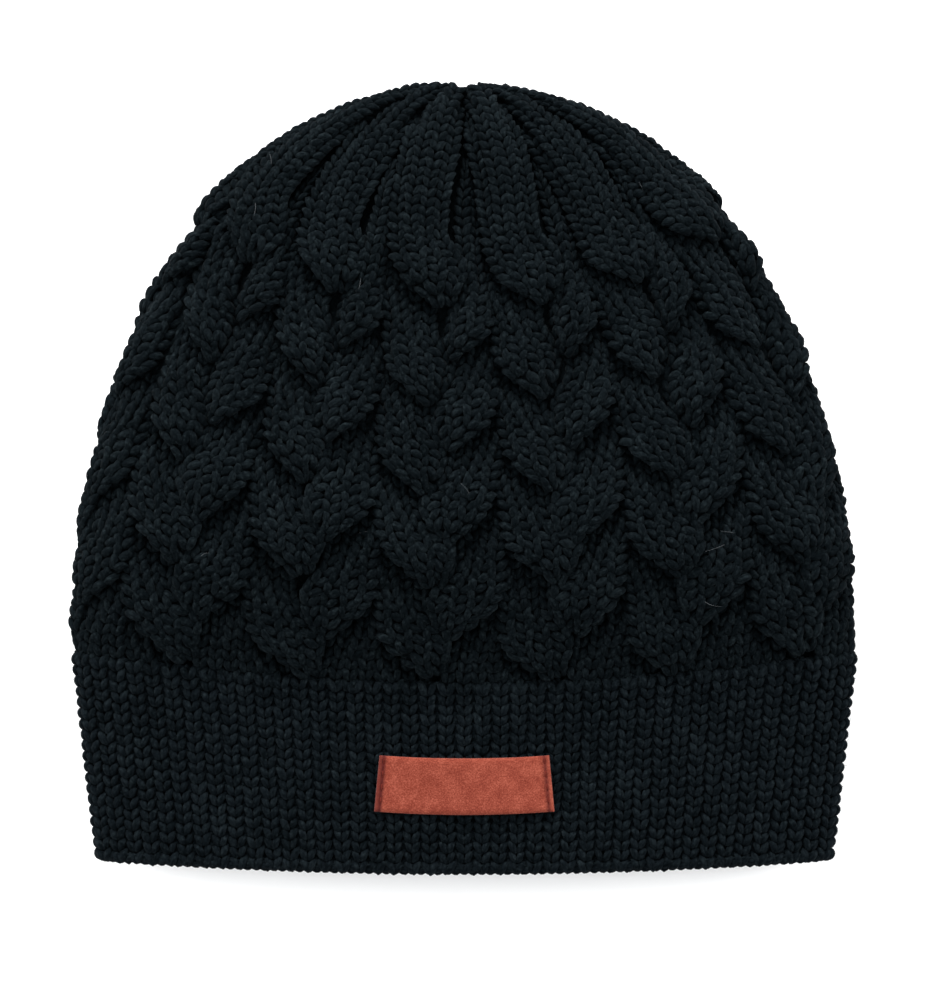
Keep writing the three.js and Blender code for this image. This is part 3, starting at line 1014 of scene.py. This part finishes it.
def label_top(u, v):
    """Upper face of the label: laid over the ribs, drawn down along both lines of stitches, thin at the
    edges, and creased beside the right-hand stitches."""
    x, y = label_place(u, v)
    rib_pitch = GIRTH[0] / RIBS
    base = front_height(x, y) + 0.1
    waves = 0.07 * np.cos(2 * math.pi * x / rib_pitch) + 0.12 * np.sin(2.6 * u + 2 * v)
    line = 1 - STITCH_FROM_END / label_half
    pull = 0.3 * np.exp(-(((np.abs(u) - line) / 0.022) ** 2))
    pull = pull * (0.75 + 0.25 * np.cos(2 * math.pi * LABEL_STITCHES * v))
    fold = 0.28 * np.exp(-(((u - 0.925 + 0.03 * v) / 0.014) ** 2)) * smoothstep(v, 0.05, 0.4)
    edge = np.maximum(np.abs(u) ** 40, np.abs(2 * v - 1) ** 16)
    # Painted shade: darker along both lines of stitches, where the suede is drawn down, and towards the left
    # end, where it slopes down to them
    shade = 0.85 * np.exp(-(((np.abs(u) - line) / 0.024) ** 2)) + 0.7 * smoothstep(-u, 0.92, 1.0)
    return base, base + LABEL_SHEET * (1 - 0.45 * edge) + waves - pull - fold, np.minimum(shade, 1)


label_v, label_u = np.meshgrid(np.linspace(0, 1, 41), np.linspace(-1, 1, 141), indexing="ij")
label_x, label_y = label_place(label_u, label_v)
label_base, label_face, label_painted_shade = label_top(label_u, label_v)


def suede_material():
    """Brushed suede: short nap in fine specks, soft patches where it lies differently, darker cut edges, and
    painted shade along the lines of stitches and at the left end.
    """
    material, nodes, links, shader = new_material("suede")
    place = object_place(nodes)
    nap = noise(nodes, links, place, 2400.0, 3.0, 0.7)
    brushed = noise(nodes, links, place, 240.0, 3.0)
    mixed = math_node(nodes, links, "MULTIPLY", nap, 0.68)
    mixed = math_node(nodes, links, "ADD", mixed, math_node(nodes, links, "MULTIPLY", brushed, 0.32))
    stops = [(0.36, (0.091, 0.012, 0.006)), (0.5, (0.143, 0.026, 0.014)), (0.66, (0.24, 0.059, 0.036))]
    face = ramp(nodes, links, mixed, stops)
    # The shade attribute blends in a dark red: painted shade along the stitch lines and at the left end, and
    # darker cut edges on the rim
    edge = nodes.new("ShaderNodeAttribute")
    edge.attribute_name = "shade"
    blend = nodes.new("ShaderNodeMix")
    blend.data_type = "RGBA"
    links.new(edge.outputs["Fac"], blend.inputs["Factor"])
    links.new(face, blend.inputs["A"])
    blend.inputs["B"].default_value = (0.045, 0.004, 0.003, 1)
    links.new(blend.outputs["Result"], shader.inputs["Base Color"])
    set_finish(shader, 0.9, 0.1)
    shader.inputs["Sheen Weight"].default_value = 0.05
    bump(nodes, links, shader, nap, 0.12 * MM, 0.8)
    return material


label = plate(
    "label_suede",
    np.stack([label_x, label_y, label_face], -1),
    np.stack([label_x, label_y, label_base], -1),
    suede_material(),
    label_painted_shade,
)
stand_for(label, "suede_label", "label_patch")
THREAD_RADIUS = 0.2
THREAD_DARK, THREAD_LIGHT = (0.05, 0.006, 0.004), (0.095, 0.014, 0.009)
label_sewing = plain_material("label_thread", THREAD_DARK, THREAD_LIGHT, 2500.0, 0.8, 0.04, 0.03)


def label_thread(side_name, side):
    """A row of stitches near one end of the label, which goes down through it and comes up again."""
    stitch = np.linspace(0, LABEL_STITCHES, 12 * LABEL_STITCHES + 1)
    v = 0.04 + 0.92 * stitch / LABEL_STITCHES
    u = np.full(len(v), side * (1 - STITCH_FROM_END / label_half))
    x, y = label_place(u, v)
    base, face, _ = label_top(u, v)
    swing = np.tanh(2.2 * np.cos(math.pi * (stitch + 0.5))) / math.tanh(2.2)
    z = (base + face) / 2 + swing * ((face - base) / 2 + 0.12)
    radii = np.full(len(v), THREAD_RADIUS)
    line = np.stack([x, y, z], -1)
    return tubes(f"label_thread_{side_name}", [line], [radii], label_sewing, 6, (1, 0, 0))


for side_name, side in (("left", -1), ("right", 1)):
    thread = label_thread(side_name, side)
    stand_for(thread, "label_thread", f"label_stitches_{side_name}")

# ---------------- seam, care label and crown yarn


def back_floor(height):
    """Inner face of the back layer along the middle of the hat."""
    wall = np.where(height < BAND_LENGTH, BAND_WALL, BODY_WALL)
    raised = FOLD_HEIGHT - (FOLD_HEIGHT - wall) * UNDERSIDE_SAG * closing(height)
    return np.maximum(wall, raised)


SEAM_STITCH = 3.0
SEAM_THICKNESS = 2.4


def seam_ridge():
    """The joined edges of the knitting, as one row of stitches up the inside of the back."""
    heights = np.arange(SEAM_LOW[1] + LENGTH / 2 + 1.5, SEAM_HIGH[1] + LENGTH / 2 - 1, SEAM_STITCH)
    count = len(heights)
    floor_heights = np.maximum(heights, np.where(heights > 46, 54, 0))
    z = back_floor(floor_heights) + 0.3 + SEAM_THICKNESS / 2
    line = np.stack([np.zeros(count), heights - LENGTH / 2, z], -1)
    along = unit(np.gradient(line, axis=0))
    across = np.tile(np.array([1.0, 0, 0]), (count, 1))
    spacing = np.full(count, SEAM_STITCH)
    width = np.full(count, SEAM_HIGH[0] - SEAM_LOW[0])
    thick = np.full(count, SEAM_THICKNESS)
    rows = (line, along, across, np.cross(across, along), spacing, width, thick)
    return knit_piece("seam_ridge", body_yarn, *stitches(rows, BODY_LEG))


stand_for(seam_ridge(), "cable_knit", "back_seam")

CARE_LOW, CARE_HIGH = box_mm("care_label")
RIBBON = 0.2


def satin_material():
    """White satin ribbon with the fine weft lines of its weave."""
    material, nodes, links, shader = new_material("satin")
    weft_place = stretched(nodes, links, object_place(nodes), (1.0, 0.08, 1.0))
    weft = noise(nodes, links, weft_place, 4200.0, 2.0)
    colour = ramp(nodes, links, weft, [(0.3, (0.60, 0.58, 0.54)), (0.7, (0.78, 0.77, 0.74))])
    links.new(colour, shader.inputs["Base Color"])
    set_finish(shader, 0.38, 0.5)
    bump(nodes, links, shader, weft, 0.03 * MM, 0.6)
    return material


def care_ribbon():
    """The ribbon, folded into a loop with both ends in the seam, and its length."""
    gap = (CARE_HIGH[2] - CARE_LOW[2]) / 2 - RIBBON / 2
    middle = (CARE_HIGH[2] + CARE_LOW[2]) / 2
    end = CARE_HIGH[0] - gap - RIBBON / 2
    run = np.linspace(0, 1, 28)
    run_x = CARE_LOW[0] + run * (end - CARE_LOW[0])
    wave = 0.05 * np.sin(5 * run) * run
    turn = np.linspace(-math.pi / 2, math.pi / 2, 9)[1:-1]
    x = np.concatenate([run_x, end + gap * np.cos(turn), run_x[::-1]])
    z = np.concatenate([middle - gap + wave, middle + gap * np.sin(turn), (middle + gap + wave)[::-1]])
    y = np.linspace(CARE_LOW[1], CARE_HIGH[1], 12)
    way = unit(np.gradient(np.stack([x, np.zeros(len(x)), z], -1), axis=0))
    normal = np.stack([-way[:, 2], np.zeros(len(x)), way[:, 0]], -1)
    rows = len(y)
    line = np.stack([np.tile(x, (rows, 1)), np.tile(y[:, None], (1, len(x))), np.tile(z, (rows, 1))], -1)
    half = normal * RIBBON / 2
    piece = plate("care_ribbon", line + half, line - half, satin_material())
    return piece, np.hypot(np.diff(x), np.diff(z)).sum()


care, ribbon_length = care_ribbon()
stand_for(care, "satin_ribbon", "care_label")
sewing = plain_material("sewing_thread", (0.010, 0.014, 0.017), (0.026, 0.032, 0.036), 2500.0, 0.6, 0.2, 0.03)
for node in ("back_seam_thread", "care_label_tack"):
    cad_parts[node].data.materials.clear()
    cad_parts[node].data.materials.append(sewing)



def crown_ring():
    """The yarn drawn through the last round of loops, almost once around."""
    low, high = box_mm("crown_drawn_yarn")
    middle, reach = (low + high) / 2, (high - low) / 2
    around = np.linspace(0, 2 * math.pi * 0.985, 60)
    x = middle[0] + (reach[0] - 0.8) * np.cos(around)
    z = middle[2] + (reach[2] - 0.6) * np.sin(around)
    line = np.stack([x, np.full(len(around), middle[1]), z], -1)
    return plied("crown_ring_yarn", line, 0.7, body_yarn, turn=4.0, reference=(0, 1, 0))


def crown_knot():
    """The knot that holds the drawn yarn, as two tight turns of it."""
    low, high = box_mm("crown_knot")
    around = np.linspace(0, 4 * math.pi * 0.99, 110)
    reach = 1.1 + 0.45 * np.cos(1.5 * around)
    loops = np.stack([reach * np.cos(around), reach * np.sin(around), 0.45 * np.sin(1.5 * around)], -1)
    return plied("crown_knot_yarn", (low + high) / 2 + loops, 0.42, body_yarn, turn=3.0)


def crown_end():
    """The loose end of the drawn yarn, lying inside from the knot towards the mouth."""
    low, high = box_mm("crown_yarn_end")
    x = low[0] + 0.5
    y = high[1]
    z = high[2] - 0.8
    points = [
        (x, y - 0.6, z),
        (x + 4, y - 5, z),
        (x + 6, y - 12, z - 0.2),
        (x + 12, y - 18, z - 0.4),
        (high[0] - 0.9, low[1] + 0.3, z - 0.4),
    ]
    return plied("crown_end_yarn", smooth_path(points, 70), 0.8, body_yarn, turn=5.0)


stand_for(crown_ring(), "cable_knit", "crown_drawn_yarn")
stand_for(crown_knot(), "cable_knit", "crown_knot")
stand_for(crown_end(), "cable_knit", "crown_yarn_end")

# ---------------- floor, light and camera

floor_material, nodes, links, shader = new_material("floor")
shader.inputs["Base Color"].default_value = (0.95, 0.95, 0.95, 1)
set_finish(shader, 0.9, 0.1)
FLOOR_HALF = 3000.0
floor_corners = [(x * FLOOR_HALF, y * FLOOR_HALF, 0) for x, y in ((-1, -1), (1, -1), (1, 1), (-1, 1))]
floor = mesh_object("floor", floor_corners, [(0, 1, 2, 3)], floor_material)


# Place in metres and power in watts
LIGHTS = {
    "key": ((-0.2, 1.35, 0.52), 57),
    "left": ((-1.4, 0.1, 0.42), 28),
    "right": ((1.4, 0.25, 0.42), 32),
    "front": ((0.2, -1.4, 0.8), 12.5),
}
LIGHT_SIZE = 0.8


def area_light(name, place, power):
    """A round soft light aimed at the middle of the hat."""
    data = bpy.data.lights.new(name, "AREA")
    data.shape = "DISK"
    data.size = LIGHT_SIZE
    data.energy = power
    light = bpy.data.objects.new(name, data)
    bpy.context.scene.collection.objects.link(light)
    light.location = place
    toward = -np.array(place)
    light.rotation_euler = (
        math.atan2(math.hypot(toward[0], toward[1]), -toward[2]),
        0,
        math.atan2(toward[0], -toward[1]) + math.pi,
    )


for name, (place, power) in LIGHTS.items():
    area_light(name, place, power)

world = bpy.data.worlds.new("studio")
world.use_nodes = True
background = world.node_tree.nodes["Background"]
background.inputs["Color"].default_value = (0.97, 0.985, 1, 1)
background.inputs["Strength"].default_value = 0.76
bpy.context.scene.world = world
bpy.context.scene.view_settings.view_transform = "Standard"

# Straight down over the middle of the hat
PICTURE_HEIGHT = 280 * MM
CAMERA_DISTANCE = 1.6
SUBJECT_HEIGHT = 9 * MM
SENSOR = 24.0
CAMERA_X, CAMERA_Y = 0.6 * MM, -6.3 * MM
camera_data = bpy.data.cameras.new("camera")
camera_data.sensor_fit = "VERTICAL"
camera_data.sensor_height = SENSOR
camera_data.lens = SENSOR * (CAMERA_DISTANCE - SUBJECT_HEIGHT) / PICTURE_HEIGHT
camera_data.clip_start = 0.01
camera_data.clip_end = 20
camera = bpy.data.objects.new("camera", camera_data)
bpy.context.scene.collection.objects.link(camera)
camera.location = (CAMERA_X, CAMERA_Y, CAMERA_DISTANCE)
bpy.context.scene.camera = camera
